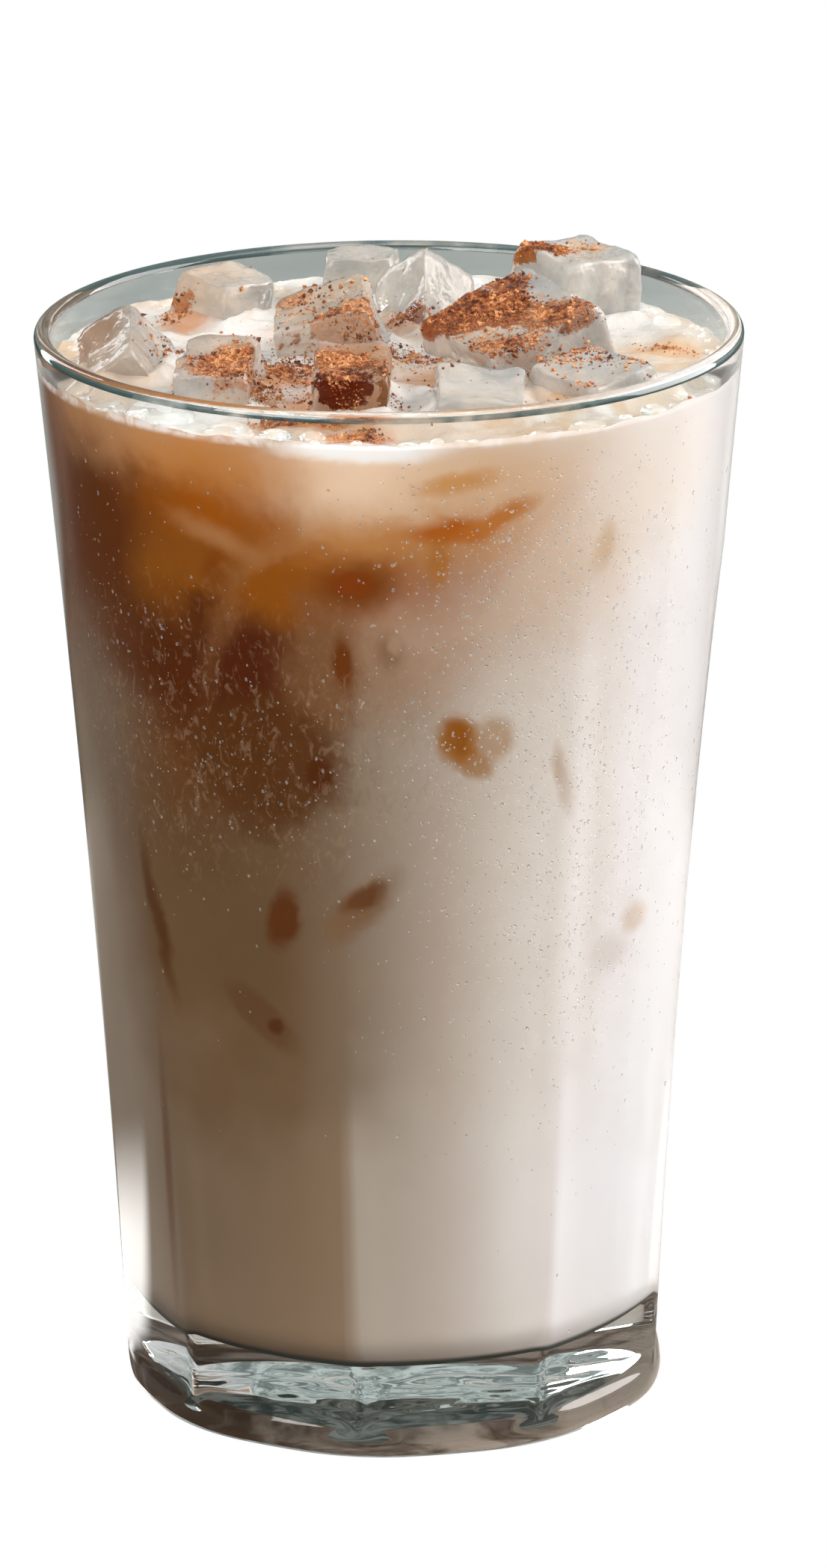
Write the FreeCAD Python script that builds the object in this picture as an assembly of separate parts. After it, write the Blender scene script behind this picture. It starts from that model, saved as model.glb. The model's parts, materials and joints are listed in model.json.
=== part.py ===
"""A tall panelled tumbler filled almost to the rim with iced horchata.

Nodes: the glass, the drink as one solid up to its level, and one solid for each ice cube that breaks the
surface. Millimetres, +Z up. The origin is the centre of the glass's foot, on the surface it stands on.
The front of the drink faces -Y.
"""

import FreeCAD
import Part

import math
import os

# ---- the glass ------------------------------------------------------------------------------------------
GLASS_HEIGHT = 140.0
RIM_RADIUS = 45.0
FOOT_RADIUS = 34.7  # corner radius the outer wall would have at z = 0 without its rounded heel
FOOT_TAPER = 0.05  # slope of the outer wall at the foot, in mm of radius per mm of height
LIP_THICKNESS = 2.2

PANEL_COUNT = 9
PANEL_TURN = -8.3  # degrees from -Y towards +X, to the corner between two panels
PANEL_TOP = 112.0  # the panels have faded into a round wall here
PANEL_CROWN = 3.0  # degrees that a panel's face turns from its middle to its edge
CORNER_SHARE_AT_FOOT = 0.10  # radius of a corner, as a share of the wall's own radius
PANEL_SECTIONS = 9

HEEL_HEIGHT = 4.5
HEEL_INSET = 0.9
HEEL_SHARE = 0.75  # radius of a corner at the very foot, which is nearly round
HEEL_SECTIONS = 6
PUNT_RADIUS = 24.0  # hollow under the foot
PUNT_DEPTH = 1.3

FLOOR_THICKNESS = 10.6
CAVITY_FOOT_RADIUS = 28.8  # of the inner wall, carried down to z = 0
CAVITY_CORNER = 5.5

# ---- the drink ------------------------------------------------------------------------------------------
DRINK_LEVEL = 135.0

# ---- the ice --------------------------------------------------------------------------------------------
ICE_TAPER = 0.84  # width of a cube's narrow end, as a share of its wide end
ICE_EDGE = 2.2  # radius of its melted edges

# Each cube: the place of its centre, its three sides, and how far it is turned about Z, then tipped about X
# and about Y, in degrees.
ICE_CUBES = {
    "ice_left": {"place": (-33.4, -3.4, 135.2), "sides": (12.0, 16.5, 11.0), "turn": 0.0, "tip": (18.0, -35.0)},
    "ice_front_left": {"place": (-21.0, -17.6, 133.2), "sides": (12.6, 18.5, 17.0), "turn": -8.0, "tip": (6.0, -4.0)},
    "ice_small": {"place": (-17.8, -3.7, 132.0), "sides": (6.0, 6.0, 12.0), "turn": -8.0, "tip": (4.0, 4.0)},
    "ice_back_left": {"place": (-21.8, 24.0, 132.2), "sides": (12.8, 12.5, 19.0), "turn": 46.0, "tip": (2.0, 8.0)},
    "ice_middle": {"place": (-6.3, 3.9, 134.0), "sides": (16.4, 17.0, 19.0), "turn": 1.0, "tip": (7.0, -18.0)},
    "ice_back": {"place": (-3.2, 33.9, 132.7), "sides": (12.5, 11.0, 18.5), "turn": -8.0, "tip": (-3.0, -2.0)},
    "ice_back_right": {"place": (5.2, 21.8, 134.2), "sides": (13.5, 11.5, 18.0), "turn": 46.0, "tip": (-50.0, -1.0)},
    "ice_right": {"place": (16.6, -0.8, 134.5), "sides": (22.0, 20.5, 18.0), "turn": 36.0, "tip": (16.0, -9.0)},
    "ice_high": {"place": (23.5, 23.1, 135.0), "sides": (15.6, 15.2, 19.5), "turn": 37.0, "tip": (2.0, 6.0)},
    "ice_front": {"place": (10.6, -22.5, 130.4), "sides": (15.0, 17.0, 18.0), "turn": 0.0, "tip": (8.0, 6.0)},
    "ice_front_right": {"place": (26.0, -16.0, 130.9), "sides": (14.5, 15.5, 18.0), "turn": 40.0, "tip": (9.0, -4.0)},
    "ice_near": {"place": (-4.8, -21.2, 133.4), "sides": (12.4, 17.5, 17.0), "turn": 0.0, "tip": (6.0, 1.0)},
}


def outer_radius(z):
    """Corner radius of the outer wall at height z: straight near the foot, flaring towards the rim."""
    flare = (RIM_RADIUS - FOOT_RADIUS - FOOT_TAPER * GLASS_HEIGHT) / GLASS_HEIGHT**2
    return FOOT_RADIUS + FOOT_TAPER * z + flare * z * z


def inner_radius(z):
    """Radius of the round inner wall at height z, a straight cone up to the lip."""
    top = RIM_RADIUS - LIP_THICKNESS
    return CAVITY_FOOT_RADIUS + (top - CAVITY_FOOT_RADIUS) * z / GLASS_HEIGHT


def corner_share(z):
    """Radius of the panel corners over the wall's radius: small at the foot, 1 where the wall is round."""
    rise = min(z / PANEL_TOP, 1.0) ** 3
    return CORNER_SHARE_AT_FOOT + (1.0 - CORNER_SHARE_AT_FOOT) * rise


def polar(radius, degrees, z):
    """A point at an angle counted from -Y towards +X."""
    angle = math.radians(degrees)
    return FreeCAD.Vector(radius * math.sin(angle), -radius * math.cos(angle), z)


def panel_section(z, corner_radius, share):
    """One closed outline of tangent arcs: a flat-looking arc for each panel, a tighter one for each corner."""
    half = 180.0 / PANEL_COUNT
    turn = half - PANEL_CROWN
    sin_half, cos_half = math.sin(math.radians(half)), math.cos(math.radians(half))
    sin_turn, cos_turn = math.sin(math.radians(turn)), math.cos(math.radians(turn))
    tight = share * corner_radius
    # The corner arc's centre lies on the corner's own ray, which ties the panel's radius to its distance.
    spread = (cos_turn - cos_half) / (sin_half - sin_turn)
    apothem = (corner_radius - tight * (1.0 - cos_turn - sin_turn * spread)) / (cos_half + sin_half * spread)
    broad = (apothem * sin_half - tight * sin_turn) / (sin_half - sin_turn)
    edges = []
    for k in range(PANEL_COUNT):
        middle = PANEL_TURN + half + 2.0 * half * k
        centre = polar(apothem - broad, middle, 0.0)
        start = centre + polar(broad, middle - PANEL_CROWN, z)
        end = centre + polar(broad, middle + PANEL_CROWN, z)
        edges.append(Part.Arc(start, polar(apothem, middle, z), end).toShape())
        next_centre = polar(apothem - broad, middle + 2.0 * half, 0.0)
        next_start = next_centre + polar(broad, middle + 2.0 * half - PANEL_CROWN, z)
        edges.append(Part.Arc(end, polar(corner_radius, middle + half, z), next_start).toShape())
    return Part.Wire(edges)


def wall_section(z):
    return panel_section(z, outer_radius(z), corner_share(z))


def heel_section(z):
    """The outline of the heel: just under the panels it turns nearly round, then draws in a little to the foot."""
    drop = (HEEL_HEIGHT - z) / HEEL_HEIGHT
    inset = HEEL_INSET * (1.0 - math.sqrt(1.0 - drop * drop))
    share = corner_share(HEEL_HEIGHT)
    share += (HEEL_SHARE - share) * (1.0 - (1.0 - drop) ** 3)
    return panel_section(z, outer_radius(HEEL_HEIGHT) - inset, share)


def panelled_wall():
    """The solid outside of the glass from its foot to where the panels have faded."""
    levels = [HEEL_HEIGHT + (PANEL_TOP - HEEL_HEIGHT) * k / (PANEL_SECTIONS - 1) for k in range(PANEL_SECTIONS)]
    wall = Part.makeLoft([wall_section(z) for z in levels], True, False)
    angles = [math.radians(90.0 * k / (HEEL_SECTIONS - 1)) for k in range(HEEL_SECTIONS)]
    heel_levels = [HEEL_HEIGHT * (1.0 - 0.98 * math.cos(a)) for a in angles]
    heel = Part.makeLoft([heel_section(z) for z in heel_levels], True, False)
    foot = heel_section(heel_levels[0])
    pad = Part.Face(foot).extrude(FreeCAD.Vector(0, 0, -heel_levels[0]))
    return wall.fuse([heel, pad])


def revolved(edges):
    """A solid of revolution about Z from a closed outline in the XZ plane."""
    return Part.Face(Part.Wire(edges)).revolve(FreeCAD.Vector(), FreeCAD.Vector(0, 0, 1), 360)


def at(radius, z):
    return FreeCAD.Vector(radius, 0, z)


def lines(*points):
    return [Part.makeLine(a, b) for a, b in zip(points, points[1:])]


def cavity(top):
    """The space inside the glass, from its floor up to a level."""
    floor_edge = inner_radius(FLOOR_THICKNESS)
    slope = math.atan2(inner_radius(GLASS_HEIGHT) - CAVITY_FOOT_RADIUS, GLASS_HEIGHT)
    reach = CAVITY_CORNER * math.tan((math.pi / 2.0 - slope) / 2.0)
    centre = at(floor_edge - reach, FLOOR_THICKNESS + CAVITY_CORNER)
    on_wall = at(centre.x + CAVITY_CORNER * math.cos(slope), centre.z - CAVITY_CORNER * math.sin(slope))
    on_floor = at(centre.x, FLOOR_THICKNESS)
    halfway = math.radians(-45.0) - slope / 2.0
    middle = centre + at(CAVITY_CORNER * math.cos(halfway), CAVITY_CORNER * math.sin(halfway))
    outline = lines(on_wall, at(inner_radius(top), top), at(0, top), at(0, FLOOR_THICKNESS), on_floor)
    return revolved(outline + [Part.Arc(on_floor, middle, on_wall).toShape()])


def rim_ring():
    """The round upper wall above the panels, closed over the lip."""
    lip = LIP_THICKNESS / 2.0
    shoulder = GLASS_HEIGHT - lip
    steps = 6
    outside = [PANEL_TOP + (shoulder - PANEL_TOP) * k / (steps - 1) for k in range(steps)]
    curve = Part.BSplineCurve()
    curve.interpolate([at(outer_radius(z), z) for z in outside])
    outer_top, inner_top = at(outer_radius(shoulder), shoulder), at(inner_radius(shoulder), shoulder)
    crest = at((outer_top.x + inner_top.x) / 2.0, GLASS_HEIGHT)
    inner_foot, outer_foot = at(inner_radius(PANEL_TOP), PANEL_TOP), at(outer_radius(PANEL_TOP), PANEL_TOP)
    edges = [curve.toShape(), Part.Arc(outer_top, crest, inner_top).toShape()]
    return revolved(edges + lines(inner_top, inner_foot, outer_foot))


def punt():
    """The shallow hollow under the foot that leaves a ring to stand on."""
    edge, crown = at(PUNT_RADIUS, 0), at(0, PUNT_DEPTH)
    ball = (PUNT_RADIUS**2 + PUNT_DEPTH**2) / (2.0 * PUNT_DEPTH)
    half = math.asin(PUNT_RADIUS / ball) / 2.0
    middle = at(ball * math.sin(half), PUNT_DEPTH - ball * (1.0 - math.cos(half)))
    return revolved([Part.Arc(edge, middle, crown).toShape()] + lines(crown, at(0, 0), edge))


def glass():
    lower = panelled_wall().cut([cavity(PANEL_TOP), punt()])
    return lower.fuse(rim_ring())


def ice_cube(place, sides, turn, tip):
    """A tapered cube with melted edges, tipped and set in its place."""
    width, depth, height = sides
    ends = []
    for z, share in ((-height / 2.0, 1.0), (height / 2.0, ICE_TAPER)):
        x, y = width / 2.0 * share, depth / 2.0 * share
        corners = [FreeCAD.Vector(a * x, b * y, z) for a, b in ((-1, -1), (1, -1), (1, 1), (-1, 1), (-1, -1))]
        ends.append(Part.makePolygon(corners))
    block = Part.makeLoft(ends, True, True)
    block = block.makeFillet(ICE_EDGE, block.Edges)
    tipping = FreeCAD.Rotation(FreeCAD.Vector(1, 0, 0), tip[0]) * FreeCAD.Rotation(FreeCAD.Vector(0, 1, 0), tip[1])
    turning = FreeCAD.Rotation(FreeCAD.Vector(0, 0, 1), turn)
    block.Placement = FreeCAD.Placement(FreeCAD.Vector(*place), tipping * turning)
    return block


def main():
    os.makedirs("parts", exist_ok=True)
    solids = {"glass": glass()}
    cubes = {name: ice_cube(**cube) for name, cube in ICE_CUBES.items()}
    solids["horchata"] = cavity(DRINK_LEVEL).cut(list(cubes.values()))
    solids.update(cubes)
    for name, shape in solids.items():
        shape = shape.removeSplitter()
        print(f"{name}: {len(shape.Solids)} solid, {shape.Volume / 1000.0:.1f} cm3, valid {shape.isValid()}")
        shape.exportStep(f"parts/{name}.step")


main()
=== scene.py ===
import json
import math

import bpy
import numpy as np
from mathutils import Euler, Matrix, Vector, noise
from mathutils.bvhtree import BVHTree

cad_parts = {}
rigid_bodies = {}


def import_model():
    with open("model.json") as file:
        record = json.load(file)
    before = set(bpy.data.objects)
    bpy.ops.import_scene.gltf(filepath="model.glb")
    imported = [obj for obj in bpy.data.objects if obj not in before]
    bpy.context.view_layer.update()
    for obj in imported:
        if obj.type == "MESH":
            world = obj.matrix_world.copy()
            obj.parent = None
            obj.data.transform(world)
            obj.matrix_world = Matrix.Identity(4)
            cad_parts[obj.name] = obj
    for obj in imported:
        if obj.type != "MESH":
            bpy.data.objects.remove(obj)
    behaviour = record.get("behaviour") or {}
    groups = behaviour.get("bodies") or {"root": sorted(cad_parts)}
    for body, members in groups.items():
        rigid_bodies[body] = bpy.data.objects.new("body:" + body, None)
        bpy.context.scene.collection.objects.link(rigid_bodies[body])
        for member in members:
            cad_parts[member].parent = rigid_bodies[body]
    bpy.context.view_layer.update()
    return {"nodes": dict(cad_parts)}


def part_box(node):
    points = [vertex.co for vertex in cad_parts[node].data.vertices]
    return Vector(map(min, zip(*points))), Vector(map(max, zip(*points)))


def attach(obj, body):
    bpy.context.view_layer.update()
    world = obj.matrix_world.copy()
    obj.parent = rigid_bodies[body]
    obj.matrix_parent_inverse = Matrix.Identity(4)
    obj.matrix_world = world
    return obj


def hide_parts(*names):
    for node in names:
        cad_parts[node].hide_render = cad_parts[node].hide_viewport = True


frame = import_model()
mm = 0.001
glassTop = round(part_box("glass")[1].z / mm, 1)
drinkFoot, drinkLevel = (round(corner.z / mm, 1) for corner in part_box("horchata"))
print("frame loaded:", len(frame["nodes"]), "nodes")


def gridQuads(rows, columns):
    # quads over rows of points that each close on themselves
    row, column = np.meshgrid(np.arange(rows - 1), np.arange(columns), indexing="ij")
    a = row * columns + column
    b = row * columns + (column + 1) % columns
    return np.stack([a, b, b + columns, a + columns], -1).reshape(-1, 4).tolist()


def fanFaces(edge, tip, flip=False):
    # triangles from a closed line of points to one in its middle
    faces = [(a, b, tip) for a, b in zip(edge, np.roll(edge, -1))]
    return [face[::-1] for face in faces] if flip else faces


def closeRings(rings, bottom, top):
    # a closed skin over a stack of rings, with a point on the axis at each end
    count = len(rings[0])
    points = np.vstack([*rings, [0, 0, bottom], [0, 0, top]])
    faces = gridQuads(len(rings), count)
    faces += fanFaces(np.arange(count), len(points) - 2, flip=True)
    faces += fanFaces(np.arange(count) + count * (len(rings) - 1), len(points) - 1)
    return points, faces


def makePiece(name, points, faces, materials, smooth=True):
    # points in millimetres, in the same frame as the CAD
    mesh = bpy.data.meshes.new(name)
    mesh.from_pydata((np.asarray(points, float) * mm).tolist(), [], [list(map(int, face)) for face in faces])
    mesh.validate()
    mesh.polygons.foreach_set("use_smooth", [smooth] * len(mesh.polygons))
    for material in materials:
        mesh.materials.append(material)
    piece = bpy.data.objects.new(name, mesh)
    bpy.context.scene.collection.objects.link(piece)
    return piece


def place(piece, slot, *nodes, clear=False):
    piece.visible_shadow = not clear  # lamps reach the drink through the clear pieces
    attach(piece, "root")
    if nodes:
        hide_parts(*nodes)
    print("made", piece.name, len(piece.data.polygons), "faces")


def pieceTree(wanted):
    # the surfaces of the wanted pieces, in millimetres, for finding what is near or below
    points, faces = [], []
    for piece in bpy.context.scene.objects:
        if piece.type == "MESH" and wanted(piece.name):
            start = len(points)
            points += [vertex.co / mm for vertex in piece.data.vertices]
            faces += [[start + index for index in face.vertices] for face in piece.data.polygons]
    return BVHTree.FromPolygons(points, faces)


def wobble(points, size, seed):
    # smooth noise from -1 to 1 at each point; size is the width of its lumps in millimetres
    shift = Vector((seed * 17.3, seed * 5.1, seed * 9.7))
    return np.array([noise.noise(Vector(point) / size + shift) for point in points])


class Val:
    # one output of a node; sums on it add Math nodes
    def __init__(self, shade, socket):
        self.shade, self.socket = shade, socket

    def math(self, operation, *values):
        return self.shade.add("ShaderNodeMath", {"operation": operation}, dict(enumerate(values)))

    def __add__(self, other):
        return self.math("ADD", self, other)

    __radd__ = __add__

    def __sub__(self, other):
        return self.math("SUBTRACT", self, other)

    def __rsub__(self, other):
        return self.math("SUBTRACT", other, self)

    def __mul__(self, other):
        return self.math("MULTIPLY", self, other)

    __rmul__ = __mul__

    def __truediv__(self, other):
        return self.math("DIVIDE", self, other)

    def __rtruediv__(self, other):
        return self.math("DIVIDE", other, self)

    def __pow__(self, other):
        return self.math("POWER", self, other)

    def __rpow__(self, other):
        return self.math("POWER", other, self)

    def __neg__(self):
        return self.math("MULTIPLY", self, -1.0)

    def __abs__(self):
        return self.math("ABSOLUTE", self)


class Shade:
    # one node material, or the nodes of the tree given
    def __init__(self, name, tree=None):
        if tree is None:
            self.material = bpy.data.materials.new(name)
            self.material.use_nodes = True
            tree = self.material.node_tree
        self.tree = tree
        self.tree.nodes.clear()

    def add(self, kind, settings=None, sockets=None, out=0):
        # a node: its settings, the values or links of its sockets, and the output or outputs wanted
        node = self.tree.nodes.new(kind)
        for key, value in (settings or {}).items():
            if key == "stops":
                ramp = node.color_ramp
                while len(ramp.elements) < len(value):
                    ramp.elements.new(0.5)
                for element, (position, colour) in zip(ramp.elements, value):
                    element.position = position
                    element.color = (*colour, 1.0)
            else:
                setattr(node, key, value)
        for key, value in (sockets or {}).items():
            socket = node.inputs[key]
            if isinstance(value, Val):
                self.tree.links.new(value.socket, socket)
            elif socket.type == "RGBA":
                socket.default_value = (*value, 1.0)
            else:
                socket.default_value = value
        if isinstance(out, tuple):
            return [Val(self, node.outputs[one]) for one in out]
        return Val(self, node.outputs[out]) if len(node.outputs) else None

    def mix(self, share, first, second):
        return self.add("ShaderNodeMix", {"data_type": "RGBA"}, {0: share, 6: first, 7: second}, out=2)

    def position(self):
        # where a point is, in millimetres in the frame
        spot = self.add("ShaderNodeTexCoord", out="Object")
        return self.vector("SCALE", {0: spot, "Scale": 1.0 / mm})

    def split(self, vector):
        return self.add("ShaderNodeSeparateXYZ", None, {0: vector}, out=(0, 1, 2))

    def vector(self, operation, sockets, out="Vector"):
        return self.add("ShaderNodeVectorMath", {"operation": operation}, sockets, out)

    def noise(self, where, scale, detail=2.0, roughness=0.5, distortion=0.0, out=0):
        # scale is in lumps per unit of where
        return self.add("ShaderNodeTexNoise", None,
                        {"Vector": where, "Scale": scale, "Detail": detail, "Roughness": roughness,
                         "Distortion": distortion}, out)

    def step(self, value, low, high, lowTo=0.0, highTo=1.0):
        return self.add("ShaderNodeMapRange", {"interpolation_type": "SMOOTHSTEP"},
                        {0: value, 1: low, 2: high, 3: lowTo, 4: highTo})

    def shift(self, where, drift, reach):
        # where, moved by a colour noise up to about half of reach
        centred = self.vector("SUBTRACT", {0: drift, 1: (0.5, 0.5, 0.5)})
        return self.vector("MULTIPLY_ADD", {0: centred, 1: (reach,) * 3, 2: where})

    def stretch(self, where, factors):
        return self.vector("MULTIPLY", {0: where, 1: factors})

    def blob(self, where, centre, half, soft, strength, turn=(0.0, 0.0, 0.0)):
        # a soft ellipsoid in space
        local = self.add("ShaderNodeMapping", {"vector_type": "TEXTURE"},
                         {"Vector": where, "Location": centre, "Rotation": turn, "Scale": half})
        return self.step(self.vector("LENGTH", {0: local}, "Value"), 1.0 - soft, 1.0 + soft, strength, 0.0)

    def cloud(self, where, angle, height, across, up, tilt, soft, strength):
        # a soft ellipse on the drink's side, from its angle and height
        a, r = math.radians(angle), innerRadius(height)
        centre = (r * math.sin(a), -r * math.cos(a), height)
        return self.blob(where, centre, (across, 25.0, up), soft, strength, (0.0, -math.radians(tilt), a))

    def bump(self, height, strength):
        return self.add("ShaderNodeBump", None, {"Strength": strength, "Distance": mm, "Height": height})

    def principled(self, sockets):
        return self.add("ShaderNodeBsdfPrincipled", None, sockets)

    def surface(self, shader):
        self.add("ShaderNodeOutputMaterial", None, {"Surface": shader})
        return self.material


# the camera: metres back and up, degrees down, turned and rolled, and its lens in mm
view = {"back": 1.2428, "height": 0.4573, "tilt": 16.923, "turn": 0.125, "roll": -0.391, "lens": 232.8}


def makeCamera():
    data = bpy.data.cameras.new("camera")
    data.lens = view["lens"]
    data.sensor_width = 36.0
    data.clip_start = 0.05
    camera = bpy.data.objects.new("camera", data)
    camera.location = (0.0, -view["back"], view["height"])
    aimed = Euler((math.radians(90.0 - view["tilt"]), 0.0, math.radians(-view["turn"]))).to_matrix()
    camera.rotation_euler = (aimed @ Matrix.Rotation(math.radians(view["roll"]), 3, "Z")).to_euler()
    bpy.context.scene.collection.objects.link(camera)
    bpy.context.scene.camera = camera
    bpy.context.scene.view_settings.view_transform = "Standard"


def around(azimuth, elevation, distance=1.0):
    # a place seen from the drink: azimuth 0 is in front, 90 is on its right
    a, e = math.radians(azimuth), math.radians(elevation)
    return Vector((math.sin(a) * math.cos(e), -math.cos(a) * math.cos(e), math.sin(e))) * distance


# each lamp: azimuth, elevation and distance in metres, size in metres, watts and colour
lamps = {
    "window": ((104.0, 24.0, 0.62), (0.50, 0.55), 6.6, (1.0, 0.975, 0.95)),
    "leftFill": ((-40.0, 36.0, 0.75), (0.45, 0.45), 5.4, (1.0, 0.975, 0.95)),
    "backStrip": ((-140.0, 18.0, 0.55), (0.10, 0.50), 0.8, (0.93, 0.98, 1.0)),
    "overhead": ((60.0, 72.0, 0.7), (0.5, 0.5), 2.0, (1.0, 0.98, 0.96)),
}


def makeLamps():
    aim = Vector((0.0, 0.0, 0.075))
    for name, (spot, size, watts, colour) in lamps.items():
        data = bpy.data.lights.new(name, "AREA")
        data.shape = "RECTANGLE"
        data.size, data.size_y = size
        data.energy = watts
        data.color = colour
        light = bpy.data.objects.new(name, data)
        light.location = aim + around(*spot)
        light.rotation_euler = (aim - light.location).to_track_quat("-Z", "Y").to_euler()
        bpy.context.scene.collection.objects.link(light)


# what glass and ice mirror and bend: dim grey-green on the left, bright on the right, mottled behind
room = {"dark": (0.085, 0.105, 0.105), "bright": (0.75, 0.76, 0.76), "brightFrom": (95.0, 18.0),
        "behindDark": (0.13, 0.165, 0.16), "behindPale": (0.50, 0.57, 0.55), "behindFrom": (185.0, 25.0),
        "backdrop": (1.0, 1.0, 1.0)}


def makeRoom():
    world = bpy.data.worlds.new("room")
    bpy.context.scene.world = world
    world.use_nodes = True
    shade = Shade("room", world.node_tree)
    direction = shade.add("ShaderNodeTexCoord", out="Generated")

    def facing(middle, low, high):
        # 1 in the directions near the middle one
        return shade.step(shade.vector("DOT_PRODUCT", {0: direction, 1: around(*middle)}, "Value"), low, high)

    sides = shade.mix(facing(room["brightFrom"], -0.35, 0.9), room["dark"], room["bright"])
    mottle = shade.step(shade.noise(direction, 9.0, 4.0, 0.65), 0.4, 0.62)
    behind = shade.mix(mottle, room["behindDark"], room["behindPale"])
    bent = shade.mix(facing(room["behindFrom"], 0.55, 0.9), sides, behind)
    shown = shade.mix(shade.add("ShaderNodeLightPath", out="Is Camera Ray"), bent, room["backdrop"])
    background = shade.add("ShaderNodeBackground", None, {"Color": shown, "Strength": 1.0})
    shade.add("ShaderNodeOutputWorld", None, {"Surface": background})


# colours of the table as the glass sees it, a strip of light past the glass's left edge, and a painted glow
# far behind
table = {"front": (0.05, 0.044, 0.038), "back": (0.34, 0.33, 0.31), "near": (0.26, 0.23, 0.20),
         "underDark": (0.13, 0.075, 0.04), "underPale": (0.50, 0.44, 0.38), "paintedFarGlow": (0.078, 0.088, 0.086),
         "strip": (1.0, 1.0, 0.98), "stripStart": (-35.0, 1.0), "stripAlong": (-0.687, 0.727), "glow": 3.6,
         "side": 3000.0}


def makeFloor():
    # white to the camera; to the glass a table, dark in front and paler behind
    shade = Shade("paleFloor")
    where = shade.position()
    x, y, _ = shade.split(where)
    # the strip runs away from the glass the way that its left panel mirrors
    (startX, startY), (alongX, alongY) = table["stripStart"], table["stripAlong"]
    along = (x - startX) * alongX + (y - startY) * alongY
    across = (x - startX) * alongY - (y - startY) * alongX
    strip = shade.step(across, -5.0, -1.0) * shade.step(across, 16.0, 10.0)
    strip = strip * shade.step(along, 6.0, 14.0) * shade.step(along, 92.0, 40.0)
    far = (x * x + y * y) ** 0.5
    behind = shade.step(y - abs(x) * 0.45 + x * 0.45, -10.0, 60.0) * shade.step(far, 252.0, 215.0)
    look = shade.mix(behind, table["front"], table["back"])
    look = shade.mix(shade.step(far, 110.0, 50.0), look, table["near"])
    grainy = shade.noise(shade.stretch(where, (0.5, 1.0, 1.0)), 0.16, 4.0, 0.62, 0.6)
    under = shade.mix(shade.step(grainy + x * 0.005, 0.38, 0.62), table["underDark"], table["underPale"])
    look = shade.mix(shade.step(far, 40.0, 33.0), look, under)
    # far behind it glows pale with painted light, which shows through the back of the rim
    paintedFarGlow = shade.step(y, 300.0, 360.0) * shade.step(abs(x), 260.0, 160.0)
    glow = shade.mix(strip, shade.mix(paintedFarGlow, (0.0, 0.0, 0.0), table["paintedFarGlow"]), table["strip"])
    lit = shade.principled({"Base Color": look, "Roughness": 0.7, "Specular IOR Level": 0.2,
                            "Emission Color": glow, "Emission Strength": table["glow"]})
    white = shade.add("ShaderNodeEmission", None, {"Color": (1.0, 1.0, 1.0), "Strength": 1.0})
    isSeen = shade.add("ShaderNodeLightPath", out="Is Camera Ray")
    shade.surface(shade.add("ShaderNodeMixShader", None, {0: isSeen, 1: lit, 2: white}))
    side = table["side"]
    floor = makePiece("floor", [(-side, -side, 0), (side, -side, 0), (side, side, 0), (-side, side, 0)],
                      [(0, 1, 2, 3)], [shade.material], smooth=False)


makeCamera()
makeLamps()
makeRoom()
makeFloor()
print("camera, lamps, room and floor ready")


tumbler = {"height": glassTop, "rimRadius": 45.0, "footRadius": 34.7, "footTaper": 0.05, "lip": 2.2,
           "panels": 9, "panelTurn": -8.3, "panelTop": 112.0, "panelCrown": 3.0, "cornerShare": 0.10,
           "heelHeight": 4.5, "heelInset": 0.9, "heelShare": 0.75, "puntRadius": 24.0, "puntDepth": 1.3,
           "puntWaves": 0.4, "floor": drinkFoot, "floorWaves": 0.3, "cavityFoot": 28.8, "cavityCorner": 5.5,
           "centreHole": 1.5, "stepsPerPanel": 48, "tint": (0.968, 0.988, 0.984), "ior": 1.5,
           # how many rings of points each stretch has, from under the foot up and down again inside
           "rings": {"hollow": 16, "heel": 12, "wall": 50, "rim": 14, "lip": 11, "cavity": 70,
                     "corner": 12, "floor": 22}}


def outerRadius(z):
    flare = (tumbler["rimRadius"] - tumbler["footRadius"] - tumbler["footTaper"] * tumbler["height"])
    return tumbler["footRadius"] + tumbler["footTaper"] * z + flare / tumbler["height"] ** 2 * z * z


def innerRadius(z):
    top = tumbler["rimRadius"] - tumbler["lip"]
    return tumbler["cavityFoot"] + (top - tumbler["cavityFoot"]) * z / tumbler["height"]


def cornerShare(z):
    # how round the corners between panels are at a height: 1 is a full circle
    rise = min(z / tumbler["panelTop"], 1.0) ** 3
    return tumbler["cornerShare"] + (1.0 - tumbler["cornerShare"]) * rise


def panelAngles():
    # angles round the glass, closer together at the corners between panels, and each one's angle from
    # the middle of its own panel
    half = math.pi / tumbler["panels"]
    u = np.linspace(-1.0, 1.0, tumbler["stepsPerPanel"], endpoint=False)
    local = half * (0.5 * u + 0.5 * np.sin(u * math.pi / 2.0))
    middles = math.radians(tumbler["panelTurn"]) + half + 2.0 * half * np.arange(tumbler["panels"])
    return (middles[:, None] + local).ravel(), np.tile(local, tumbler["panels"])


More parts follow.
